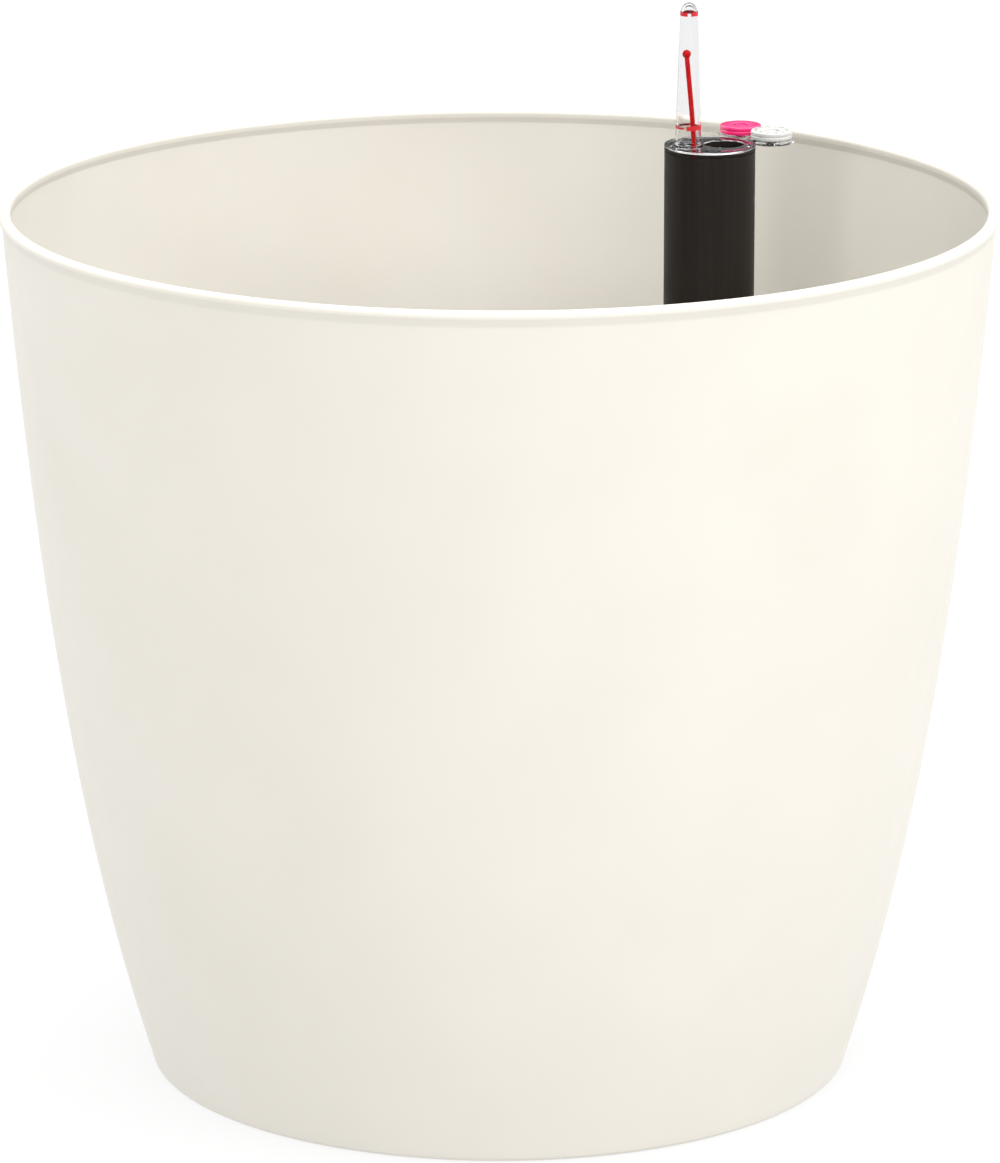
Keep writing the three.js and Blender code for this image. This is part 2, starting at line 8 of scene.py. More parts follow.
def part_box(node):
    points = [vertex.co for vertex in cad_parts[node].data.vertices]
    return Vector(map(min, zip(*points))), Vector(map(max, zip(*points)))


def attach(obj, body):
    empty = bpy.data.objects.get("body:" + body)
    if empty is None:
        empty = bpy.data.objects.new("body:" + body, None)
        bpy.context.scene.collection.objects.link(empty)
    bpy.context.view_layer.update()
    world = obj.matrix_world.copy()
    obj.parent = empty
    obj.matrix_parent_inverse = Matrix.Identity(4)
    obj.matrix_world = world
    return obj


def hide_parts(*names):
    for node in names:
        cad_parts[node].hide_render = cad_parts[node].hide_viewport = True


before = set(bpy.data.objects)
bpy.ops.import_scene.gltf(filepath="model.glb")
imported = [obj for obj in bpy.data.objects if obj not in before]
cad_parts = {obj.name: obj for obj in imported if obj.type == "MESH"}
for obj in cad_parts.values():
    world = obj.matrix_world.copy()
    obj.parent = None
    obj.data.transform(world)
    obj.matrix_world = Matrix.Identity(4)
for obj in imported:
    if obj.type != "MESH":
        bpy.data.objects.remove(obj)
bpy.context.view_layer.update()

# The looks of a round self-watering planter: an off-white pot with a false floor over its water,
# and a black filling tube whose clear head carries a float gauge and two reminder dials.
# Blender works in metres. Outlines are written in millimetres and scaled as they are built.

MM = 0.001

# ---------------------------------------------------------------- places, from the frame


def span(node):
    """A node's lowest and highest corner, in millimetres."""
    low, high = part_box(node)
    return low / MM, high / MM


def middle(node):
    """The middle of a node's box seen from above, in millimetres."""
    low, high = span(node)
    return Vector(((low.x + high.x) / 2, (low.y + high.y) / 2, 0))


pot_high = span("pot")[1]
tube_low, tube_high = span("fill_tube")
head_low, head_high = span("gauge_head")
glass_low, glass_high = span("sight_glass")
rod_low = span("indicator_rod")[0]
float_low, float_high = span("float")

GAP = 0.3  # clearance where two pieces rest on each other
SEAM = 0.05  # clearance between pieces that make up one part
POT_HEIGHT = pot_high.z
RIM_RADIUS = pot_high.x
TUBE = middle("fill_tube")
TUBE_RADIUS = (tube_high.x - tube_low.x) / 2
TUBE_TOP = tube_high.z + GAP  # the heights of the gauge's pieces are taken from here
GLASS = middle("sight_glass")
DIALS = {"fertiliser_dial": middle("fertiliser_dial"), "repotting_dial": middle("repotting_dial")}

# Pot
WALL = 3
WALL_TOP_RADIUS = 199.2
TAPER = 27.2
BELLY = 16.5
TUCK = 13.3
BEAD_HEIGHT = 4.6
BEAD_WIDTH = 4.7
BEAD_BLEND = 2.5  # how far under the bead the wall starts to swell into it
BASE_ROUND = 3
FOOT_INNER_RADIUS = 127
FOOT_DEPTH = 4
FOOT_SLOPE = 2
FLOOR = 7.5
FLOOR_ROUND = 8

# Drain plug
DRAIN = middle("drain_plug_seal")
DRAIN_RADIUS = 7.5
PLUG_RADIUS = 6.8
PLUG_FLANGE = 11
PLUG_FLANGE_THICK = 2.5
SEAL_RADIUS = 10.5
TAB_WIDTH = 14
TAB_THICK = 3
GRIP_LINES = (-3.4, -1.2, 1)  # heights of the grip lines about the tab's shoulder
GRIP_WIDTH = 0.7
GRIP_DEPTH = 0.25
GRIP_INSET = 2

# False floor, its legs and its soil wells
WELLS = ["soil_well_1", "soil_well_2", "soil_well_3"]
LEGS = ["support_leg_1", "support_leg_2", "support_leg_3", "support_leg_4", "support_leg_center"]
PLATE_TOP = 80
PLATE_THICK = 3
PLATE_RADIUS = 154
LIP_HEIGHT = 8
LIP_FLARE = 4.5
LIP_THICK = 2.2
RIB_DEPTH = 8
RIB_THICK = 2
RIB_INNER = 24
RIB_OUTER = 148
RIB_SIDE_ANGLE = 23
VENT_COUNT = 16
VENT_REACH = 137
VENT_LENGTH = 16
VENT_WIDTH = 3
WELL_TOP_RADIUS = 26
WELL_BOTTOM_RADIUS = 20
WELL_BOTTOM = 9
WELL_WALL = 2
WELL_FLANGE = 29.5
WELL_HOLE = 26.6
WELL_FLOOR_HOLES = 8
WELL_FLOOR_HOLE = 1.5
WELL_FLOOR_HOLE_REACH = 11
FLANGE_THICK = 2
SLIT_PAIRS = 4
SLIT_WIDTH = 3
SLIT_LOW = 16
SLIT_HIGH = 60
LEG_TOP_RADIUS = 11
LEG_FOOT_RADIUS = 8
LEG_WALL = 2
LEG_NOTCH_WIDTH = 2.4
LEG_NOTCH_HEIGHT = 4
PEG_RADIUS = 3.9
PEG_HOLE = 4.2
PEG_STAND = 1.5

# Filling tube, its foot and the collar that it stands in
TUBE_WALL = 1.5
FOOT_TOP = 30
CAGE_WALL = 1.8
CAGE_FLOOR = 2
CAGE_SPIGOT = 10
CAGE_SPIGOT_WALL = 0.8
WINDOW_PAIRS = 4
WINDOW_WIDTH = 6
WINDOW_LOW = 12
WINDOW_HIGH = 26
SOCKET_BORE = 19
SOCKET_SPIGOT = 22
SOCKET_COLLAR = 21.3
SOCKET_FLANGE = 27
SOCKET_HOLE = 22.3

# Gauge head and sight glass; heights here and below are above the top of the tube
HEAD_RADIUS = 18.6
HEAD_PLATE = 2
HEAD_PLATE_THICK = 0.6
HEAD_SEAT = 1.3  # height of the black ring that the clear head sits on
HEAD_RIM_WIDTH = 1
SPIGOT_RADIUS = 16.7
SPIGOT_WALL = 1.3
FILLER_X = 5.85
FILLER_Y = 1.9
FILLER_RADIUS = 8.3
COLLAR_CLEARANCE = 0.1
COLLAR_WALL = 0.5  # the black collar that hangs round the filler hole
COLLAR_DROP = 3
GLASS_BORE = 4.6
GLASS_FLANGE = 5.9
GLASS_FLANGE_THICK = 1.2
GLASS_BASE_RADIUS = 5.5
GLASS_TOP_RADIUS = 3.6
GLASS_SHOULDER = 55.8
GLASS_WALL = 0.9
MAX_MARK = 56.1
MIN_MARK = 9.5

# Stretches of the level marks: from and to angle, low and high edge about the mark's height
MAX_STRETCHES = [(-79, 259, -0.8, 0.8)]
MIN_STRETCHES = [(-180, -112, -0.45, 0.45), (-100, -10, -0.9, 0.9), (10, 170, -0.45, 0.45)]

# Dials, pins and the arm that carries them
DIAL_RADIUS = 8.45
DIAL_LOW = 2.2
DIAL_HIGH = 5.5
DIAL_GROOVE = 0.35
DIAL_RING = 4.4
DIAL_RING_WIDTH = 0.5
DIAL_RING_DEPTH = 0.2
DIAL_RECESS = 3.2
DIAL_RECESS_DEPTH = 1.3
DIAL_BORE = 1.8
DIAL_NUMBER_REACH = 6.4
DIAL_NUMBER_HEIGHT = 2.2
NUMBER_THICK = 0.04  # to each side of its middle
PRINT_THICK = 0.06
PRINT_LIFT = 0.01  # how far a print stands off its surface
ARM_LOW = 0.3
ARM_HIGH = 1.9
LOBE_RADIUS = 9.3
# The arm's painted dark glints: dark lines that stand in for light bent dark through the clear lobe's edge.
ARM_PAINTED_GLINTS = [(-116, -100), (-95, -86), (-81, -70)]  # from and to angle of each dark line on the arm
ARM_PAINTED_GLINT_RISE = 0.45
ARM_PAINTED_GLINT_HEIGHT = 0.5
PIN_RADIUS = 1.5
PIN_HEAD = 2.4
PIN_HEAD_THICK = 0.6
PIN_TAIL = 2.2
PIN_TAIL_DEPTH = 0.8
PIN_SLOT_LENGTH = 2.6
PIN_SLOT_WIDTH = 0.5
PIN_SLOT_DEPTH = 0.3
PIN_SLOT_ANGLE = 30

# Float and rod
ROD_RADIUS = 1
BALL_RADIUS = 1.75
ROD_END_RADIUS = 2.2
ROD_END_THICK = 1.2
WASHER_RADIUS = 5
FLOAT_RADIUS = 6.5
FLOAT_ROUND = 1.5

# Height on the rod, and how far the rod stands right of the glass's axis there
ROD_BENDS = [(39.4, -0.9), (9.7, 1.8), (-15, 3.1), (-45, 3.2), (-90, 2.2), (-140, 0.7), (-180, 0)]

ROUND = 256  # segments round a large turned piece
TUBE_ROUND = 160  # round the filling tube
HEAD_ROUND = 128  # round the gauge's head
FINE = 96  # round a small one
ROD_ROUND = 48  # round the rod's ends
ROD_SIDES = 24  # round the rod
BEND_STEPS = 16  # along each stretch of the rod's bend
WALL_STEPS = 60  # up the outside of the pot's wall
INNER_WALL_STEPS = 48  # up its inside

# ---------------------------------------------------------------- shader helpers


def add(tree, kind, inputs=(), **settings):
    """A new node. inputs gives a value or another node's output for each named or numbered input."""
    node = tree.nodes.new(kind)
    for key, value in settings.items():
        setattr(node, key, value)
    for key, value in dict(inputs).items():
        if isinstance(value, bpy.types.NodeSocket):
            tree.links.new(value, node.inputs[key])
        else:
            node.inputs[key].default_value = value
    return node


def srgb(r, g, b):
    """An sRGB colour from 0 to 255 as linear RGBA."""
    def linear(c):
        c /= 255
        return c / 12.92 if c <= 0.04045 else ((c + 0.055) / 1.055) ** 2.4

    return (linear(r), linear(g), linear(b), 1)


def shader(name, **values):
    """A material with a Principled shader. values are its sockets, with _ for a space."""
    material = bpy.data.materials.new(name)
    material.use_nodes = True
    tree = material.node_tree
    bsdf = tree.nodes["Principled BSDF"]
    for key, value in values.items():
        bsdf.inputs[key.replace("_", " ")].default_value = value
    return material, tree, bsdf


def place_coordinates(tree, stretch=(1, 1, 1)):
    """The object's own coordinates in metres, stretched."""
    coordinates = add(tree, "ShaderNodeTexCoord")
    mapping = add(tree, "ShaderNodeMapping", {"Vector": coordinates.outputs["Object"], "Scale": stretch})
    return mapping.outputs["Vector"]


def noise(tree, vector, size, detail=3, roughness=0.5):
    """Noise with features of the given size in millimetres."""
    inputs = {"Vector": vector, "Scale": 1 / (size * MM), "Detail": detail, "Roughness": roughness}
    return add(tree, "ShaderNodeTexNoise", inputs).outputs["Fac"]


def remap(tree, value, low, high, from_low=0.3, from_high=0.7):
    """value, from a noise, spread over low to high."""
    inputs = {"Value": value, "From Min": from_low, "From Max": from_high, "To Min": low, "To Max": high}
    return add(tree, "ShaderNodeMapRange", inputs).outputs["Result"]


def bump(tree, bsdf, height, depth):
    """Bump of the given depth in millimetres, over any bump that is already there."""
    node = add(tree, "ShaderNodeBump", {"Height": height, "Distance": depth * MM})
    if bsdf.inputs["Normal"].is_linked:
        tree.links.new(bsdf.inputs["Normal"].links[0].from_socket, node.inputs["Normal"])
    tree.links.new(node.outputs["Normal"], bsdf.inputs["Normal"])


def shade_of(tree, value, colour, other):
    """The mix of two colours that value from 0 to 1 picks."""
    mix = add(tree, "ShaderNodeMix", data_type="RGBA")
    tree.links.new(value, mix.inputs[0])
    mix.inputs[6].default_value = colour
    mix.inputs[7].default_value = other
    return mix.outputs[2]


# ---------------------------------------------------------------- materials


def moulded(name, colour, other, roughness, grain, depth, **values):
    """Moulded plastic: a slow drift of colour from the melt, a fine grain from the tool and uneven gloss."""
    material, tree, bsdf = shader(name, **values)
    vector = place_coordinates(tree)
    drift = remap(tree, noise(tree, vector, 60, 2), 0, 1)
    tree.links.new(shade_of(tree, drift, colour, other), bsdf.inputs["Base Color"])
    gloss = remap(tree, noise(tree, vector, 9, 4), roughness - 0.04, roughness + 0.04)
    tree.links.new(gloss, bsdf.inputs["Roughness"])
    bump(tree, bsdf, noise(tree, vector, grain, 2, 0.6), depth)
    return material


def extruded(name, colour, other, roughness):
    """Drawn tube: fine lines along it from the die."""
    material, tree, bsdf = shader(name, Specular_IOR_Level=0.12)
    lines = place_coordinates(tree, (1, 1, 0.01))
    vector = place_coordinates(tree)
    streak = noise(tree, lines, 0.8, 3)
    tree.links.new(shade_of(tree, remap(tree, streak, 0, 1), colour, other), bsdf.inputs["Base Color"])
    gloss = remap(tree, noise(tree, vector, 14, 4), roughness - 0.05, roughness + 0.05)
    tree.links.new(gloss, bsdf.inputs["Roughness"])
    bump(tree, bsdf, streak, 0.012)
    bump(tree, bsdf, noise(tree, vector, 0.35, 2), 0.004)
    return material


def clear(name, absorbed, ior=1.49):
    """Clear acrylic with faint flow waves and fine handling marks. absorbed is the light lost per metre."""
    values = {"Transmission_Weight": 1, "IOR": ior, "Base_Color": (0.98, 0.98, 0.98, 1)}
    material, tree, bsdf = shader(name, Specular_Tint=(0.15, 0.15, 0.15, 1), **values)
    vector = place_coordinates(tree)
    gloss = remap(tree, noise(tree, vector, 3, 4), 0.01, 0.05)
    tree.links.new(gloss, bsdf.inputs["Roughness"])
    bump(tree, bsdf, noise(tree, vector, 4, 2), 0.03)
    body = {"Color": (0.9, 0.9, 0.9, 1), "Density": absorbed / 0.1}
    volume = add(tree, "ShaderNodeVolumeAbsorption", body)
    tree.links.new(volume.outputs["Volume"], tree.nodes["Material Output"].inputs["Volume"])
    return material


def foam(name):
    """White bead foam: packed beads a little over two millimetres across."""
    material, tree, bsdf = shader(name, Subsurface_Weight=0.2, Subsurface_Scale=0.002)
    vector = place_coordinates(tree)
    cells = add(tree, "ShaderNodeTexVoronoi", {"Vector": vector, "Scale": 1 / (2.2 * MM)})
    edge = remap(tree, cells.outputs["Distance"], 0, 1, 0.1, 0.7)
    tree.links.new(shade_of(tree, edge, srgb(246, 246, 242), srgb(222, 222, 216)), bsdf.inputs["Base Color"])
    bsdf.inputs["Roughness"].default_value = 0.8
    bump(tree, bsdf, edge, -0.12)
    return material


def studio_floor(name):
    """A white sweep that glows a little, so that its shadows stay faint."""
    material, tree, bsdf = shader(name, Roughness=0.9, Emission_Color=(1, 1, 1, 1), Emission_Strength=0.8)
    vector = place_coordinates(tree)
    drift = remap(tree, noise(tree, vector, 400, 2), 0, 1)
    shade = shade_of(tree, drift, (0.095, 0.095, 0.095, 1), (0.105, 0.105, 0.105, 1))
    tree.links.new(shade, bsdf.inputs["Base Color"])
    return material


POT_CREAM = moulded("pot_cream", srgb(217, 213, 204), srgb(214, 210, 200), 0.42, 0.5, 0.006)
INSERT_BLACK = moulded("insert_black", srgb(48, 47, 44), srgb(42, 41, 39), 0.55, 0.35, 0.02)
TUBE_BLACK = extruded("tube_black", srgb(29, 24, 21), srgb(33, 29, 25), 0.5)
CLEAR_GLASS = clear("clear_glass", 80)
CLEAR_HEAD = clear("clear_head", 6)
CLEAR_ARM = clear("clear_arm", 2, ior=1.2)
RED = moulded("gauge_red", srgb(238, 6, 18), srgb(232, 4, 16), 0.35, 0.6, 0.004, Specular_IOR_Level=0.1)
RED_INK = moulded("level_mark_red", srgb(204, 18, 36), srgb(196, 14, 32), 0.4, 0.3, 0.002)
FOAM = foam("bead_foam")
PINK = moulded("dial_pink", srgb(250, 44, 124), srgb(244, 38, 118), 0.22, 0.5, 0.004, Coat_Weight=0.4)
PINK_MARK = moulded("dial_pink_mark", srgb(214, 40, 110), srgb(206, 36, 104), 0.4, 0.3, 0.003)
WHITE = moulded("dial_white", srgb(202, 203, 199), srgb(198, 199, 195), 0.3, 0.5, 0.004)
GREY_MARK = moulded("dial_grey_mark", srgb(92, 102, 97), srgb(86, 96, 91), 0.5, 0.3, 0.003)
# Painted dark glint: the dark look of light bent through the clear arm's edge, painted on as dark lines.
PAINTED_DARK_GLINT = moulded("arm_painted_glint", srgb(52, 44, 44), srgb(46, 40, 40), 0.5, 0.3, 0.003)
RUBBER = moulded("seal_rubber", srgb(34, 34, 34), srgb(28, 28, 28), 0.7, 0.3, 0.02)
FLOOR_WHITE = studio_floor("studio_floor")

# ---------------------------------------------------------------- mesh helpers


def arc(r, z, radius, start, end, steps=6):
    """Points of an arc about (r, z), angles in degrees, both ends included."""
    points = []
    for i in range(steps + 1):
        angle = math.radians(start + (end - start) * i / steps)
        points.append((r + radius * math.cos(angle), z + radius * math.sin(angle)))
    return points


def rounded(corners, steps=4, closed=True):
    """An outline from corners (r, z, fillet radius). A corner with no third value is kept sharp."""
    points = []
    count = len(corners)
    for i, corner in enumerate(corners):
        here = Vector(corner[:2])
        fillet = corner[2] if len(corner) > 2 else 0
        at_end = not closed and i in (0, count - 1)
        if not fillet or at_end:
            points.append(tuple(here))
            continue
        before = (Vector(corners[i - 1][:2]) - here).normalized()
        after = (Vector(corners[(i + 1) % count][:2]) - here).normalized()
        half = before.angle(after) / 2
        if half > math.radians(89):
            points.append(tuple(here))
            continue
        centre = here + (before + after).normalized() * (fillet / math.sin(half))
        first = here + before * (fillet / math.tan(half)) - centre
        last = here + after * (fillet / math.tan(half)) - centre
        for step in range(steps + 1):
            direction = first.lerp(last, step / steps).normalized()
            points.append(tuple(centre + direction * fillet))
    return points


def finish_mesh(name, build, sharp=32):
    """A mesh from a bmesh in millimetres, smooth except where faces meet at more than sharp degrees."""
    bmesh.ops.remove_doubles(build, verts=build.verts, dist=1e-4)
    bmesh.ops.recalc_face_normals(build, faces=build.faces)
    mesh = bpy.data.meshes.new(name)
    build.to_mesh(mesh)
    build.free()
    mesh.transform(Matrix.Scale(MM, 4))
    smooth(mesh, sharp)
    return mesh


def smooth(mesh, sharp=32):
    mesh.shade_smooth()
    mesh.set_sharp_from_angle(angle=math.radians(sharp))


def turn(build, outline, segments, at=(0, 0, 0)):
    """Adds the solid that an outline of (r, z) sweeps about the vertical line through at."""
    rings = []
    for r, z in outline:
        if r < 1e-6:
            rings.append([build.verts.new((at[0], at[1], z + at[2]))] * segments)
            continue
        ring = []
        for i in range(segments):
            angle = 2 * math.pi * i / segments
            spot = (at[0] + r * math.cos(angle), at[1] + r * math.sin(angle), z + at[2])
            ring.append(build.verts.new(spot))
        rings.append(ring)
    on_axis = outline[0][0] < 1e-6
    last = len(rings) - 1 if on_axis else len(rings)
    for k in range(last):
        lower, upper = rings[k], rings[(k + 1) % len(rings)]
        for i in range(segments):
            j = (i + 1) % segments
            corners = []
            for vert in (lower[i], lower[j], upper[j], upper[i]):
                if vert not in corners:
                    corners.append(vert)
            if len(corners) > 2:
                build.faces.new(corners)


def turned(name, outline, segments, at=(0, 0, 0), sharp=32):
    build = bmesh.new()
    turn(build, outline, segments, at)
    return finish_mesh(name, build, sharp)


def slab(build, corners, low, high, bevel=0.0, matrix=Matrix()):
    """Adds a prism over a plan of (x, y) corners, its end faces' edges bevelled, moved by a matrix."""
    bottom = [build.verts.new(matrix @ Vector((x, y, low))) for x, y in corners]
    top = [build.verts.new(matrix @ Vector((x, y, high))) for x, y in corners]
    faces = [build.faces.new(bottom[::-1]), build.faces.new(top)]
    for i in range(len(corners)):
        j = (i + 1) % len(corners)
        faces.append(build.faces.new((bottom[i], bottom[j], top[j], top[i])))
    if bevel:
        edges = list({edge for face in faces[:2] for edge in face.edges})
        bmesh.ops.bevel(build, geom=edges, offset=bevel, segments=3, profile=0.5, affect="EDGES")


def circle(radius, at, segments):
    """The corners of a round plan."""
    angles = [2 * math.pi * i / segments for i in range(segments)]
    return [(at[0] + radius * math.cos(a), at[1] + radius * math.sin(a)) for a in angles]


def bar_plan(length, width, at, angle, corner_steps=4):
    """The plan of a bar with round ends, its middle at `at`, along angle in degrees."""
    points = []
    half = length / 2 - width / 2
    for side in (1, -1):
        for i in range(corner_steps + 1):
            a = math.radians(-90 + 180 * i / corner_steps)
            points.append((side * (half + width / 2 * math.cos(a)), side * (width / 2 * math.sin(a))))
    turn_by = Matrix.Rotation(math.radians(angle), 2)
    return [tuple(turn_by @ Vector(p) + Vector(at[:2])) for p in points]


def band(inner, outer, low, high, fillet):
    """The outline of a ring with rounded corners."""
    return rounded([(inner, low, fillet), (outer, low, fillet), (outer, high, fillet), (inner, high, fillet)])


def chamfered_hole(build, radius, low, high, at, chamfer=0.4):
    """Adds a cutter for a round hole through a wall, with both of its edges chamfered."""
    past = 1
    wide = radius + chamfer + past
    outline = [
        (0, low - past),
        (wide, low - past),
        (radius, low + chamfer),
        (radius, high - chamfer),
        (wide, high + past),
        (0, high + past),
    ]
    turn(build, outline, FINE, at)


def upright_slot(build, width, low, high, length, at, angle, fillet=None):
    """Adds a cutter for a slot right across an upright piece, its ends round or filleted."""
    if fillet is None:
        fillet = width / 2 - 1e-3
    half = width / 2
    corners = [(low, -half, fillet), (high, -half, fillet), (high, half, fillet), (low, half, fillet)]
    turn_by = Matrix.Rotation(math.radians(angle), 4, "Z")
    lie_down = Matrix(((0, 0, 1, 0), (0, 1, 0, 0), (1, 0, 0, 0), (0, 0, 0, 1)))
    matrix = Matrix.Translation((at[0], at[1], 0)) @ turn_by @ lie_down
    slab(build, rounded(corners), -length / 2, length / 2, matrix=matrix)


def cut(mesh, build, operation="DIFFERENCE", sharp=32):
    """mesh cut by, or joined with, the closed shapes in a bmesh given in millimetres."""
    tool_mesh = finish_mesh("tool", build)
    tool = bpy.data.objects.new("tool", tool_mesh)
    body = bpy.data.objects.new("body", mesh)
    for piece in (tool, body):
        bpy.context.scene.collection.objects.link(piece)
    modifier = body.modifiers.new("cut", "BOOLEAN")
    modifier.operation = operation
    modifier.object = tool
    modifier.solver = "EXACT"
    modifier.use_self = True
    depsgraph = bpy.context.evaluated_depsgraph_get()
    result = bpy.data.meshes.new_from_object(body.evaluated_get(depsgraph))
    result.name = mesh.name
    for piece in (tool, body):
        bpy.data.objects.remove(piece)
    smooth(result, sharp)
    return result


def piece(name, mesh, material, body, slot, replaced=()):
    """Puts a mesh in the scene: its material, the body that it rides on and the nodes that it stands for."""
    made = bpy.data.objects.new(name, mesh)
    bpy.context.scene.collection.objects.link(made)
    mesh.materials.clear()
    mesh.materials.append(material)
    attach(made, body)
    if replaced:
        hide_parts(*replaced)
    return made


# ---------------------------------------------------------------- pot


def wall_radius(z):
    """The outer wall's radius at a height."""
    t = 1 - z / POT_HEIGHT
    return WALL_TOP_RADIUS - TAPER * t - BELLY * t**2 - TUCK * t**4


def wall_points(low, high, steps, inset):
    """Points up the wall, set in by inset."""
    heights = [low + (high - low) * i / steps for i in range(steps + 1)]
    return [(wall_radius(z) - inset, z) for z in heights]


def make_pot():
    bead_low = POT_HEIGHT - BEAD_HEIGHT
    bead_inner = RIM_RADIUS - BEAD_WIDTH
    below = bead_low - BEAD_BLEND
    lean = math.degrees(math.atan2(wall_radius(BASE_ROUND) - wall_radius(0), BASE_ROUND))
    base_r = wall_radius(BASE_ROUND) - BASE_ROUND
    floor_round_z = FLOOR + FLOOR_ROUND
    floor_r = wall_radius(floor_round_z) - WALL - FLOOR_ROUND * math.cos(math.radians(lean))
    underside = [
        (0, FOOT_DEPTH),
        (FOOT_INNER_RADIUS - FOOT_SLOPE, FOOT_DEPTH, 1.5),
        (FOOT_INNER_RADIUS, 0, 0.6),
        (base_r, 0),
    ]
    bead = [
        (wall_radius(below), below),
        (wall_radius(bead_low - 1.5), bead_low - 1.5, 4.0),
        (RIM_RADIUS, bead_low + 1.8, 2.0),
        (RIM_RADIUS, POT_HEIGHT, 2.0),
        (bead_inner, POT_HEIGHT, 2.0),
        (bead_inner, bead_low + 1.4, 2.0),
        (wall_radius(bead_low - 1) - WALL, bead_low - 1, 2.0),
        (wall_radius(below) - WALL, below),
    ]
    outline = (
        rounded(underside, closed=False)
        + arc(base_r, BASE_ROUND, BASE_ROUND, -90, -lean, 8)[1:]
        + wall_points(2 * BASE_ROUND, below, WALL_STEPS, 0)
        + rounded(bead, steps=8, closed=False)[1:-1]
        + wall_points(floor_round_z, below, INNER_WALL_STEPS, WALL)[::-1]
        + arc(floor_r, floor_round_z, FLOOR_ROUND, -lean, -90, 8)[1:]
        + [(0, FLOOR)]
    )
    hole = bmesh.new()
    turn(hole, [(0, 0), (DRAIN_RADIUS, 0), (DRAIN_RADIUS, FLOOR + WALL), (0, FLOOR + WALL)], FINE, DRAIN)
    mesh = cut(turned("pot", outline, ROUND), hole)
    piece("planter_pot", mesh, POT_CREAM, "pot", "pot_plastic", ["pot"])


# ---------------------------------------------------------------- drain plug


def make_drain_plug():
    seal_low = FLOOR + GAP
    low = span("drain_plug_seal")[1].z + GAP
    stem_low, top = span("drain_plug")[0].z, span("drain_plug")[1].z
    flange_top = low + PLUG_FLANGE_THICK
    outline = [
        (0, stem_low),
        (PLUG_RADIUS, stem_low, 1),
        (PLUG_RADIUS, low, 0.3),
        (PLUG_FLANGE, low, 0.4),
        (PLUG_FLANGE, flange_top, 0.8),
        (0, flange_top),
    ]
    mesh = turned("drain_plug", rounded(outline, closed=False), FINE, DRAIN)
    half = TAB_WIDTH / 2
    shoulder = top - half / 2
    crown_angles = [math.radians(a) for a in range(0, 181, 10)]
    crown = [(half * math.cos(a), shoulder + half / 2 * math.sin(a)) for a in crown_angles]
    tab = bmesh.new()
    plan = [(-half, flange_top - 1), (half, flange_top - 1)] + crown
    upright = Matrix.Translation(DRAIN) @ Matrix.Rotation(math.radians(90), 4, "X")
    slab(tab, plan, -TAB_THICK / 2, TAB_THICK / 2, bevel=0.6, matrix=upright)
    mesh = cut(mesh, tab, "UNION")
    grip = bmesh.new()
    end = half - GRIP_INSET
    for line in GRIP_LINES:
        low_edge, high_edge = shoulder + line - GRIP_WIDTH / 2, shoulder + line + GRIP_WIDTH / 2
        plan = [(-end, low_edge), (end, low_edge), (end, high_edge), (-end, high_edge)]
        for side in (-1, 1):
            face = side * TAB_THICK / 2
            slab(grip, plan, face - GRIP_DEPTH, face + GRIP_DEPTH, matrix=upright)
    mesh = cut(mesh, grip)
    piece("drain_stopper", mesh, INSERT_BLACK, "drain_plug", "insert_plastic", ["drain_plug"])
    seal = band(DRAIN_RADIUS, SEAL_RADIUS, seal_low, low - GAP, 0.4)
    mesh = turned("seal", seal, FINE, DRAIN)
    piece("drain_seal_ring", mesh, RUBBER, "drain_plug", "seal_rubber", ["drain_plug_seal"])


# ---------------------------------------------------------------- false floor, its wells and its legs


def make_plate():
    bottom = PLATE_TOP - PLATE_THICK
    lip_top = PLATE_TOP + LIP_HEIGHT
    outline = [
        (0, bottom),
        (PLATE_RADIUS, bottom, 1.2),
        (PLATE_RADIUS + LIP_FLARE, lip_top, 0.9),
        (PLATE_RADIUS + LIP_FLARE - LIP_THICK, lip_top, 0.9),
        (PLATE_RADIUS - LIP_THICK / 2, PLATE_TOP, 2),
        (0, PLATE_TOP),
    ]
    mesh = turned("plate", rounded(outline, closed=False), ROUND)
    well_angles = [math.degrees(math.atan2(at.y, at.x)) for at in map(middle, WELLS)]
    tube_angle = math.degrees(math.atan2(TUBE.y, TUBE.x))
    ribs = bmesh.new()
    rib_middle = (RIB_INNER + RIB_OUTER) / 2
    for hole in [*well_angles, tube_angle]:
        for side in (-1, 1):
            angle = hole + side * RIB_SIDE_ANGLE
            at = Matrix.Rotation(math.radians(angle), 2) @ Vector((rib_middle, 0))
            plan = bar_plan(RIB_OUTER - RIB_INNER, RIB_THICK, at, angle)
            slab(ribs, plan, bottom - RIB_DEPTH, bottom + 1, bevel=0.4)
    mesh = cut(mesh, ribs, "UNION")
    holes = bmesh.new()
    for well in WELLS:
        chamfered_hole(holes, WELL_HOLE, bottom, PLATE_TOP, middle(well))
    chamfered_hole(holes, SOCKET_HOLE, bottom, PLATE_TOP, TUBE)
    for leg in LEGS:
        chamfered_hole(holes, PEG_HOLE, bottom, PLATE_TOP, middle(leg))
    for i in range(VENT_COUNT):
        angle = (i + 0.5) * 360 / VENT_COUNT
        at = Matrix.Rotation(math.radians(angle), 2) @ Vector((VENT_REACH, 0))
        slab(holes, bar_plan(VENT_LENGTH, VENT_WIDTH, at, angle + 90), bottom - 1, PLATE_TOP + 1)
    mesh = cut(mesh, holes)
    piece("false_floor_plate", mesh, INSERT_BLACK, "insert", "insert_plastic", ["separator_plate"])


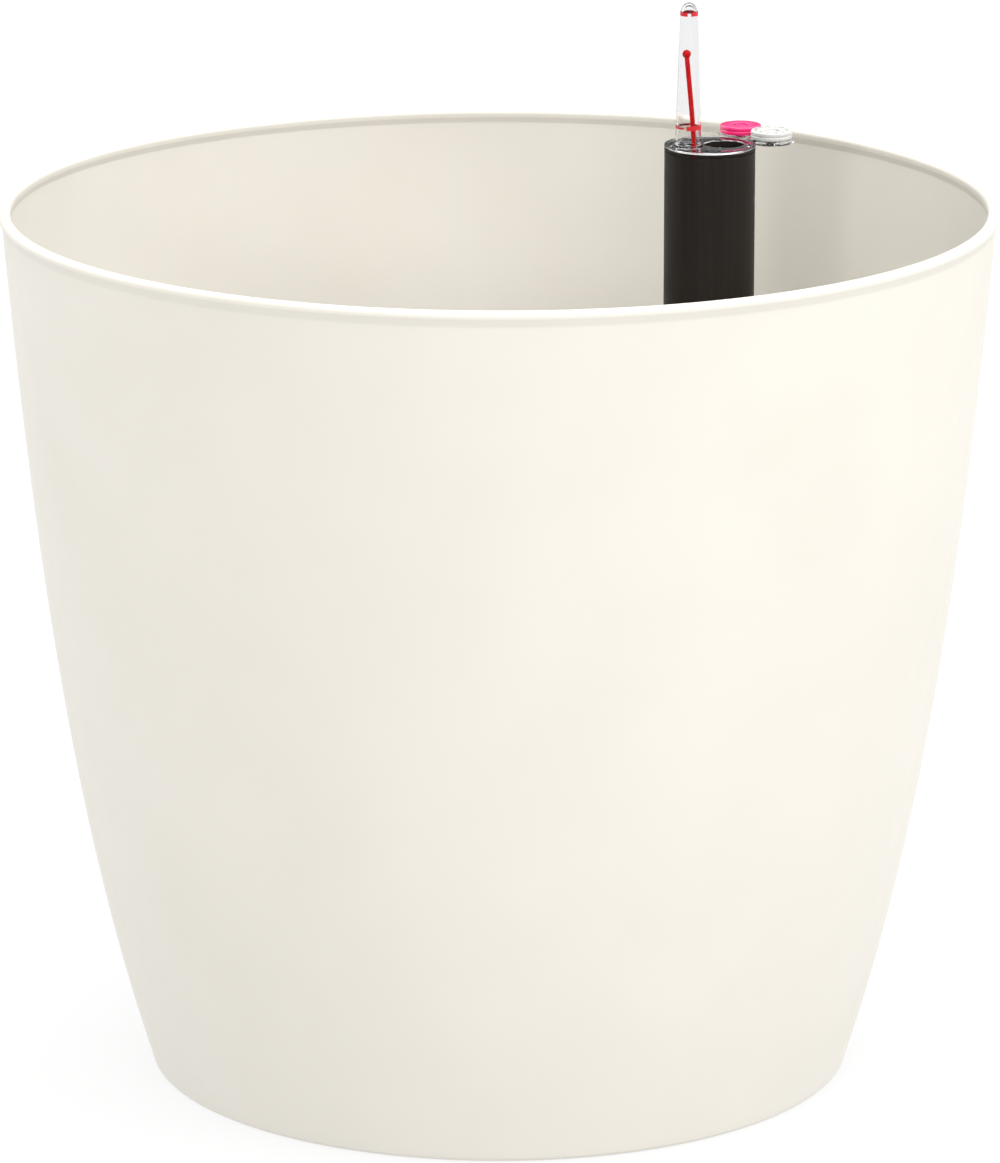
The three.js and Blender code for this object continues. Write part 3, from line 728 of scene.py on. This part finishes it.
def make_well(well):
    at = middle(well)
    flange_low = PLATE_TOP + GAP
    top = flange_low + FLANGE_THICK
    outline = [
        (0, WELL_BOTTOM),
        (WELL_BOTTOM_RADIUS, WELL_BOTTOM, 1.6),
        (WELL_TOP_RADIUS, flange_low, 0.3),
        (WELL_FLANGE, flange_low, 0.3),
        (WELL_FLANGE, top, 0.8),
        (WELL_TOP_RADIUS - WELL_WALL, top, 0.8),
        (WELL_BOTTOM_RADIUS - WELL_WALL, WELL_BOTTOM + WELL_WALL, 1),
        (0, WELL_BOTTOM + WELL_WALL),
    ]
    mesh = turned(well, rounded(outline, closed=False), FINE, at)
    turned_by = math.degrees(math.atan2(at.y, at.x))
    slits = bmesh.new()
    for i in range(SLIT_PAIRS):
        angle = turned_by + (i + 0.5) * 180 / SLIT_PAIRS
        upright_slot(slits, SLIT_WIDTH, SLIT_LOW, SLIT_HIGH, 4 * WELL_TOP_RADIUS, at, angle)
    for i in range(WELL_FLOOR_HOLES):
        angle = math.radians(360 * i / WELL_FLOOR_HOLES)
        spot = at + Vector((math.cos(angle), math.sin(angle), 0)) * WELL_FLOOR_HOLE_REACH
        slab(slits, circle(WELL_FLOOR_HOLE, spot, 16), WELL_BOTTOM - 1, WELL_BOTTOM + WELL_WALL + 1)
    piece(well + "_basket", cut(mesh, slits), INSERT_BLACK, "insert", "insert_plastic", [well])


def make_leg(leg):
    foot = FLOOR + GAP
    shoulder = PLATE_TOP - PLATE_THICK - GAP
    peg_top = PLATE_TOP + PEG_STAND
    outline = [
        (0, shoulder - LEG_WALL),
        (LEG_TOP_RADIUS - LEG_WALL, shoulder - LEG_WALL, 1),
        (LEG_FOOT_RADIUS - LEG_WALL, foot, 0.4),
        (LEG_FOOT_RADIUS, foot, 0.6),
        (LEG_TOP_RADIUS, shoulder, 0.8),
        (PEG_RADIUS, shoulder, 0.4),
        (PEG_RADIUS, peg_top, 0.6),
        (0, peg_top),
    ]
    mesh = turned(leg, rounded(outline, closed=False), FINE, middle(leg))
    notches = bmesh.new()
    low, high = foot - LEG_NOTCH_HEIGHT, foot + LEG_NOTCH_HEIGHT
    for angle in (0, 90):
        upright_slot(notches, LEG_NOTCH_WIDTH, low, high, 4 * LEG_TOP_RADIUS, middle(leg), angle)
    piece(leg + "_post", cut(mesh, notches), INSERT_BLACK, "insert", "insert_plastic", [leg])


def make_socket():
    flange_low = PLATE_TOP + GAP
    flange_top = flange_low + FLANGE_THICK
    low, high = span("tube_socket")
    outline = [
        (SOCKET_BORE, low.z, 0.4),
        (SOCKET_SPIGOT, low.z, 0.8),
        (SOCKET_SPIGOT, flange_low, 0.3),
        (SOCKET_FLANGE, flange_low, 0.3),
        (SOCKET_FLANGE, flange_top, 0.8),
        (SOCKET_COLLAR, flange_top, 0.8),
        (SOCKET_COLLAR, high.z, 0.8),
        (SOCKET_BORE, high.z, 0.8),
    ]
    mesh = turned("socket", rounded(outline), FINE, TUBE)
    piece("tube_collar", mesh, INSERT_BLACK, "insert", "insert_plastic", ["tube_socket"])


# ---------------------------------------------------------------- filling tube and its foot


def make_tube():
    outline = band(TUBE_RADIUS - TUBE_WALL, TUBE_RADIUS, tube_low.z, tube_high.z, 0.35)
    mesh = turned("tube", outline, TUBE_ROUND, TUBE)
    piece("filling_pipe", mesh, TUBE_BLACK, "tube", "tube_plastic", ["fill_tube"])


def make_tube_foot():
    low = span("tube_foot")[0].z
    spigot_top = FOOT_TOP + CAGE_SPIGOT
    spigot_bore = SPIGOT_RADIUS - CAGE_SPIGOT_WALL
    cage_bore = TUBE_RADIUS - CAGE_WALL
    outline = [
        (0, low),
        (TUBE_RADIUS, low, 1),
        (TUBE_RADIUS, FOOT_TOP, 0.4),
        (SPIGOT_RADIUS, FOOT_TOP, 0.3),
        (SPIGOT_RADIUS, spigot_top, 0.3),
        (spigot_bore, spigot_top, 0.3),
        (spigot_bore, FOOT_TOP - CAGE_WALL, 0.3),
        (cage_bore, FOOT_TOP - CAGE_WALL, 0.2),
        (cage_bore, low + CAGE_FLOOR, 0.8),
        (0, low + CAGE_FLOOR),
    ]
    mesh = turned("tube_foot", rounded(outline, closed=False), FINE, TUBE)
    windows = bmesh.new()
    for i in range(WINDOW_PAIRS):
        angle = (i + 0.5) * 180 / WINDOW_PAIRS
        upright_slot(windows, WINDOW_WIDTH, WINDOW_LOW, WINDOW_HIGH, 4 * TUBE_RADIUS, TUBE, angle, fillet=1)
    piece("water_cage", cut(mesh, windows), INSERT_BLACK, "tube", "insert_plastic", ["tube_foot"])


# ---------------------------------------------------------------- gauge head, glass and its marks


def make_head():
    spigot_bore = SPIGOT_RADIUS - SPIGOT_WALL
    rim_inner = HEAD_RADIUS - HEAD_RIM_WIDTH
    top = TUBE_TOP + HEAD_PLATE
    under = top - HEAD_PLATE_THICK
    seat = TUBE_TOP + HEAD_SEAT
    outline = [
        (0, under),
        (spigot_bore, under, 0.3),
        (spigot_bore, head_low.z, 0.3),
        (SPIGOT_RADIUS, head_low.z, 0.4),
        (SPIGOT_RADIUS, seat, 0.1),
        (HEAD_RADIUS, seat, 0.1),
        (HEAD_RADIUS, head_high.z, 0.4),
        (rim_inner, head_high.z, 0.4),
        (rim_inner, top, 0.2),
        (0, top),
    ]
    mesh = turned("head", rounded(outline, closed=False), HEAD_ROUND, TUBE)
    holes = bmesh.new()
    filler = TUBE + Vector((FILLER_X, FILLER_Y, 0))
    chamfered_hole(holes, FILLER_RADIUS, under, top, filler, chamfer=0.1)
    chamfered_hole(holes, GLASS_BORE, under, top, GLASS, chamfer=0.1)
    piece("gauge_head_cap", cut(mesh, holes), CLEAR_HEAD, "gauge", "clear_plastic", ["gauge_head"])
    ring = band(SPIGOT_RADIUS + SEAM, HEAD_RADIUS, TUBE_TOP, seat - SEAM, 0.15)
    piece("gauge_head_seat", turned("seat", ring, HEAD_ROUND, TUBE), TUBE_BLACK, "gauge", "tube_plastic")
    collar_low, collar_high = TUBE_TOP - COLLAR_DROP, under - SEAM
    collar_inner = FILLER_RADIUS + COLLAR_CLEARANCE
    collar = band(collar_inner, collar_inner + COLLAR_WALL, collar_low, collar_high, 0.1)
    notch = bmesh.new()
    slab(notch, circle(GLASS_FLANGE + GAP, GLASS, FINE), collar_low - 1, collar_high + 1)
    mesh = cut(turned("collar", collar, FINE, filler), notch)
    piece("filler_collar", mesh, TUBE_BLACK, "gauge", "tube_plastic")


def make_arm():
    """The clear arm under the dials: two lobes and the web that joins them to the head's edge."""
    low, high = TUBE_TOP + ARM_LOW, TUBE_TOP + ARM_HIGH
    centres = list(DIALS.values())
    lobe = [(0, low), (LOBE_RADIUS, low, 0.4), (LOBE_RADIUS, high, 0.4), (0, high)]
    mesh = turned("arm", rounded(lobe, closed=False), FINE, centres[0])
    other = bmesh.new()
    turn(other, rounded(lobe, closed=False), FINE, centres[1])
    mesh = cut(mesh, other, "UNION")
    web = bmesh.new()
    outer = [tuple(centre[:2]) for centre in centres]
    inner = [tuple((TUBE + (centre - TUBE).normalized() * SPIGOT_RADIUS)[:2]) for centre in centres]
    slab(web, [inner[0], outer[0], outer[1], inner[1]], low + SEAM, high - SEAM, bevel=0.2)
    mesh = cut(mesh, web, "UNION")
    holes = bmesh.new()
    slab(holes, circle(HEAD_RADIUS + SEAM, TUBE, HEAD_ROUND), low - 1, high + 1)
    for centre in centres:
        chamfered_hole(holes, DIAL_BORE, low, high, centre)
    piece("gauge_head_arm", cut(mesh, holes), CLEAR_ARM, "gauge", "clear_plastic")


def glass_radius(z):
    """The glass narrows evenly from its base to its shoulder."""
    t = (z - TUBE_TOP) / GLASS_SHOULDER
    return GLASS_BASE_RADIUS + (GLASS_TOP_RADIUS - GLASS_BASE_RADIUS) * t


def make_glass():
    low = glass_low.z
    flange_top = low + GLASS_FLANGE_THICK
    shoulder = TUBE_TOP + GLASS_SHOULDER
    rise = glass_high.z - shoulder

    def dome(radius, height):
        angles = [math.radians(90 * i / 16) for i in range(17)]
        return [(radius * math.cos(a), shoulder + height * math.sin(a)) for a in angles]

    outside = dome(GLASS_TOP_RADIUS, rise)
    inside = dome(GLASS_TOP_RADIUS - GLASS_WALL, rise - GLASS_WALL)[::-1]
    outside[-1] = (0, outside[-1][1])
    inside[0] = (0, inside[0][1])
    base = [
        inside[-1],
        (glass_radius(low) - GLASS_WALL, low, 0.25),
        (GLASS_FLANGE, low, 0.25),
        (GLASS_FLANGE, flange_top, 0.35),
        (glass_radius(flange_top), flange_top, 0.5),
        outside[0],
    ]
    outline = inside + rounded(base, steps=6, closed=False)[1:-1] + outside
    mesh = turned("glass", outline, FINE, GLASS)
    piece("sight_tube", mesh, CLEAR_GLASS, "gauge", "clear_plastic", ["sight_glass"])


def film(build, centre, radius, low, high, start, end):
    """Adds a thin curved film over a round face whose radius is a function of height."""
    steps = max(2, round((end - start) / 10))
    columns = []
    for i in range(steps + 1):
        angle = math.radians(start + (end - start) * i / steps)
        out = Vector((math.cos(angle), math.sin(angle), 0))
        column = []
        for z, lift in ((low, PRINT_LIFT), (high, PRINT_LIFT), (high, PRINT_THICK), (low, PRINT_THICK)):
            column.append(build.verts.new(centre + out * (radius(z) + lift) + Vector((0, 0, z))))
        columns.append(column)
    for left, right in zip(columns, columns[1:]):
        for k in range(4):
            build.faces.new((left[k], right[k], right[(k + 1) % 4], left[(k + 1) % 4]))
    build.faces.new(columns[0][::-1])
    build.faces.new(columns[-1])


def make_glass_mark(name, height, stretches):
    """A red level mark printed round the glass, in stretches of (from, to, low, high)."""
    build = bmesh.new()
    middle_z = TUBE_TOP + height
    for start, end, low, high in stretches:
        film(build, GLASS, glass_radius, middle_z + low, middle_z + high, start, end)
    piece(name, finish_mesh(name, build), RED_INK, "gauge", "gauge_red")


def make_arm_painted_glints():
    """Three short painted dark glints round the front of the lobe that carries the repotting dial: dark lines
    that stand in for light bent dark through its clear edge.
    """
    build = bmesh.new()
    low = TUBE_TOP + ARM_LOW + ARM_PAINTED_GLINT_RISE
    for start, end in ARM_PAINTED_GLINTS:
        film(build, DIALS["repotting_dial"], lambda z: LOBE_RADIUS, low, low + ARM_PAINTED_GLINT_HEIGHT, start, end)
    piece("arm_painted_glints", finish_mesh("arm_painted_glints", build), PAINTED_DARK_GLINT, "gauge", "insert_plastic")


# ---------------------------------------------------------------- rod, float and washer


def rod_path(steps):
    """Points of the rod's gentle bend, lowest last: a Catmull-Rom curve through ROD_BENDS."""
    knots = [GLASS + Vector((x, 0, TUBE_TOP + z)) for z, x in ROD_BENDS]
    knots.append(GLASS + Vector((0, 0, rod_low.z + ROD_END_THICK / 2)))
    padded = [2 * knots[0] - knots[1], *knots, 2 * knots[-1] - knots[-2]]
    points = []
    for i in range(len(knots) - 1):
        before, start, end, after = padded[i : i + 4]
        for step in range(steps):
            t = step / steps
            points.append(
                0.5
                * (
                    2 * start
                    + (end - before) * t
                    + (2 * before - 5 * start + 4 * end - after) * t**2
                    + (3 * start - before - 3 * end + after) * t**3
                )
            )
    return [*points, knots[-1]]


def make_rod():
    path = rod_path(BEND_STEPS)
    build = bmesh.new()
    rings = []
    for i, point in enumerate(path):
        along = (path[min(i + 1, len(path) - 1)] - path[max(i - 1, 0)]).normalized()
        side = Vector((0, 1, 0))
        other = along.cross(side)
        ring = []
        for k in range(ROD_SIDES):
            angle = 2 * math.pi * k / ROD_SIDES
            out = side * math.cos(angle) + other * math.sin(angle)
            ring.append(build.verts.new(point + out * ROD_RADIUS))
        rings.append(ring)
    for lower, upper in zip(rings, rings[1:]):
        for k in range(ROD_SIDES):
            j = (k + 1) % ROD_SIDES
            build.faces.new((lower[k], lower[j], upper[j], upper[k]))
    build.faces.new(rings[0])
    build.faces.new(rings[-1][::-1])
    mesh = finish_mesh("rod", build)
    ends = bmesh.new()
    ball = arc(0, path[0].z, BALL_RADIUS, -90, 90, 24)
    ball[0], ball[-1] = (0, ball[0][1]), (0, ball[-1][1])
    turn(ends, ball, ROD_ROUND, Vector((path[0].x, path[0].y, 0)))
    foot = [(0, rod_low.z), (ROD_END_RADIUS, rod_low.z, 0.4)]
    foot += [(ROD_END_RADIUS, rod_low.z + ROD_END_THICK, 0.4), (0, rod_low.z + ROD_END_THICK)]
    turn(ends, rounded(foot, closed=False), ROD_ROUND, GLASS)
    mesh = cut(mesh, ends, "UNION")
    piece("float_needle", mesh, RED, "float_rod", "gauge_red", ["indicator_rod"])


def make_float():
    hole = ROD_RADIUS + GAP
    mesh = turned("float", band(hole, FLOAT_RADIUS, float_low.z, float_high.z, FLOAT_ROUND), FINE, GLASS)
    piece("foam_float", mesh, FOAM, "float_rod", "float_foam", ["float"])
    low, high = span("float_washer")
    mesh = turned("washer", band(hole, WASHER_RADIUS, low.z, high.z, 0.35), FINE, GLASS)
    piece("float_clip", mesh, INSERT_BLACK, "float_rod", "insert_plastic", ["float_washer"])


# ---------------------------------------------------------------- dials and their pins


def make_dial(dial, colour, mark_colour, slot, start):
    """A dial with twelve numbers, its first number at start degrees."""
    centre = DIALS[dial]
    low, high = TUBE_TOP + DIAL_LOW, TUBE_TOP + DIAL_HIGH
    floor = high - DIAL_RECESS_DEPTH
    waist = (low + high) / 2
    outline = [
        (DIAL_BORE, low, 0.2),
        (DIAL_RADIUS, low, 0.4),
        (DIAL_RADIUS, waist - DIAL_GROOVE, 0.1),
        (DIAL_RADIUS - DIAL_GROOVE, waist, 0.05),
        (DIAL_RADIUS, waist + DIAL_GROOVE, 0.1),
        (DIAL_RADIUS, high, 0.5),
        (DIAL_RING + DIAL_RING_WIDTH / 2, high, 0.05),
        (DIAL_RING, high - DIAL_RING_DEPTH, 0.05),
        (DIAL_RING - DIAL_RING_WIDTH / 2, high, 0.05),
        (DIAL_RECESS, high, 0.35),
        (DIAL_RECESS, floor, 0.2),
        (DIAL_BORE, floor, 0.1),
    ]
    mesh = turned(dial, rounded(outline), FINE, centre)
    piece(dial + "_disc", mesh, colour, dial, slot, [dial])
    numbers = bmesh.new()
    for i in range(12):
        angle = math.radians(start - 30 * i)
        at = centre + Vector((math.cos(angle), math.sin(angle), 0)) * DIAL_NUMBER_REACH
        at.z = high + PRINT_LIFT
        write(numbers, str(i + 1), DIAL_NUMBER_HEIGHT, at, angle - math.pi / 2)
    piece(dial + "_numbers", finish_mesh(dial + "_numbers", numbers), mark_colour, dial, slot)


def write(build, text, height, at, angle):
    """Adds thin raised figures, lying flat."""
    curve = bpy.data.curves.new("figures", "FONT")
    curve.body = text
    curve.size = height
    curve.align_x = "CENTER"
    curve.align_y = "CENTER"
    curve.extrude = NUMBER_THICK
    curve.resolution_u = 4
    figures = bpy.data.objects.new("figures", curve)
    bpy.context.scene.collection.objects.link(figures)
    depsgraph = bpy.context.evaluated_depsgraph_get()
    mesh = bpy.data.meshes.new_from_object(figures.evaluated_get(depsgraph))
    mesh.transform(Matrix.Translation(at) @ Matrix.Rotation(angle, 4, "Z"))
    build.from_mesh(mesh)
    bpy.data.objects.remove(figures)
    bpy.data.meshes.remove(mesh)


def make_pin(dial, colour, slot):
    centre = DIALS[dial]
    head_low = TUBE_TOP + DIAL_HIGH - DIAL_RECESS_DEPTH + GAP
    tail_top = TUBE_TOP + ARM_LOW - GAP
    head_top = head_low + PIN_HEAD_THICK
    outline = [
        (0, tail_top - PIN_TAIL_DEPTH),
        (PIN_TAIL - 0.4, tail_top - PIN_TAIL_DEPTH, 0.2),
        (PIN_TAIL, tail_top, 0.1),
        (PIN_RADIUS, tail_top, 0.05),
        (PIN_RADIUS, head_low, 0.1),
        (PIN_HEAD, head_low, 0.1),
        (PIN_HEAD, head_top, 0.3),
        (0, head_top),
    ]
    mesh = turned(dial + "_pin", rounded(outline, closed=False), FINE, centre)
    slot_cut = bmesh.new()
    plan = bar_plan(PIN_SLOT_LENGTH, PIN_SLOT_WIDTH, centre, PIN_SLOT_ANGLE)
    slab(slot_cut, plan, head_top - PIN_SLOT_DEPTH, head_top + PIN_SLOT_DEPTH)
    piece(dial + "_rivet", cut(mesh, slot_cut), colour, "gauge", slot, [dial + "_pin"])


# ---------------------------------------------------------------- every piece

make_pot()
make_drain_plug()
make_plate()
for well in WELLS:
    make_well(well)
for leg in LEGS:
    make_leg(leg)
make_socket()
make_tube()
make_tube_foot()
make_head()
make_arm()
make_glass()
make_glass_mark("max_mark", MAX_MARK, MAX_STRETCHES)
make_glass_mark("min_mark", MIN_MARK, MIN_STRETCHES)
make_arm_painted_glints()
make_rod()
make_float()
make_dial("fertiliser_dial", PINK, PINK_MARK, "dial_pink", 90)
make_dial("repotting_dial", WHITE, GREY_MARK, "dial_white", 75)
make_pin("fertiliser_dial", PINK, "dial_pink")
make_pin("repotting_dial", WHITE, "dial_white")

# ---------------------------------------------------------------- studio


def towards(azimuth, elevation):
    a, e = math.radians(azimuth), math.radians(elevation)
    return Vector((math.sin(a) * math.cos(e), -math.cos(a) * math.cos(e), math.sin(e)))


def make_studio():
    """A white floor, a sky of soft white lobes, and two soft lights."""
    build = bmesh.new()
    slab(build, circle(FLOOR_REACH, (0, 0), FINE), -FLOOR_THICK, 0)
    floor = bpy.data.objects.new("floor", finish_mesh("floor", build))
    floor.data.materials.append(FLOOR_WHITE)
    bpy.context.scene.collection.objects.link(floor)

    world = bpy.data.worlds.new("studio")
    bpy.context.scene.world = world
    world.use_nodes = True
    tree = world.node_tree
    direction = add(tree, "ShaderNodeTexCoord").outputs["Generated"]
    glow = SKY_BASE
    for azimuth, elevation, sharpness, strength in SKY:
        aim = towards(azimuth, elevation)
        facing = add(tree, "ShaderNodeVectorMath", {0: direction, 1: aim}, operation="DOT_PRODUCT")
        ahead = add(tree, "ShaderNodeMath", {0: facing.outputs["Value"], 1: 0}, operation="MAXIMUM")
        lobe = add(tree, "ShaderNodeMath", {0: ahead.outputs[0], 1: sharpness}, operation="POWER")
        lit = {0: lobe.outputs[0], 1: strength, 2: glow}
        glow = add(tree, "ShaderNodeMath", lit, operation="MULTIPLY_ADD").outputs[0]
    background = tree.nodes["Background"]
    background.inputs["Color"].default_value = (1, 1, 1, 1)
    tree.links.new(glow, background.inputs["Strength"])

    for name, azimuth, elevation, distance, size, power in LIGHTS:
        data = bpy.data.lights.new(name, "AREA")
        data.shape = "DISK"
        data.size = size
        data.energy = power
        light = bpy.data.objects.new(name, data)
        bpy.context.scene.collection.objects.link(light)
        aim = towards(azimuth, elevation)
        light.location = Vector((0, 0, LIGHT_TARGET)) + aim * distance
        light.rotation_mode = "QUATERNION"
        light.rotation_quaternion = aim.to_track_quat("Z", "Y")


# Azimuths are 0 in front of the pot and 90 on its right.
# The sky: a faint even glow, and broad lobes as azimuth, elevation, sharpness, strength
SKY_BASE = 0.01
SKY = [
    (0, 50, 8, 3.95),
    (90, 50, 8, 2.0),
    (120, 20, 10, 1.4),
    (180, 55, 8, 2.4),
    (-120, 20, 10, 3.1),
    (0, 90, 4, 1.2),
]
# The lights: name, azimuth, elevation, distance in metres, size in metres, watts
LIGHTS = [
    ("key_right", 62, 24, 3.2, 1.6, 29),
    ("front_left", -24, 14, 3.0, 0.45, 11),
]
LIGHT_TARGET = 0.25  # metres above the floor
FLOOR_REACH = 40000  # millimetres, as is the floor's thickness
FLOOR_THICK = 12

# The camera stands 2.833 m from the pot's axis and looks down on it from the front.
CAMERA_DISTANCE = 2.833
CAMERA_PITCH = 14.862
CAMERA_AIM = 0.1989
CAMERA_ASIDE = 0.00037
LENS = 215.86


def make_camera():
    data = bpy.data.cameras.new("camera")
    data.lens = LENS
    data.sensor_width = 36
    data.clip_start = 0.1
    data.clip_end = 50
    camera = bpy.data.objects.new("camera", data)
    bpy.context.scene.collection.objects.link(camera)
    pitch = math.radians(CAMERA_PITCH)
    back = Vector((0, -math.cos(pitch), math.sin(pitch)))
    camera.location = Vector((CAMERA_ASIDE, 0, CAMERA_AIM)) + back * CAMERA_DISTANCE
    camera.rotation_euler = (math.radians(90) - pitch, 0, 0)
    bpy.context.scene.camera = camera


make_studio()
make_camera()
bpy.context.scene.view_settings.view_transform = "Standard"
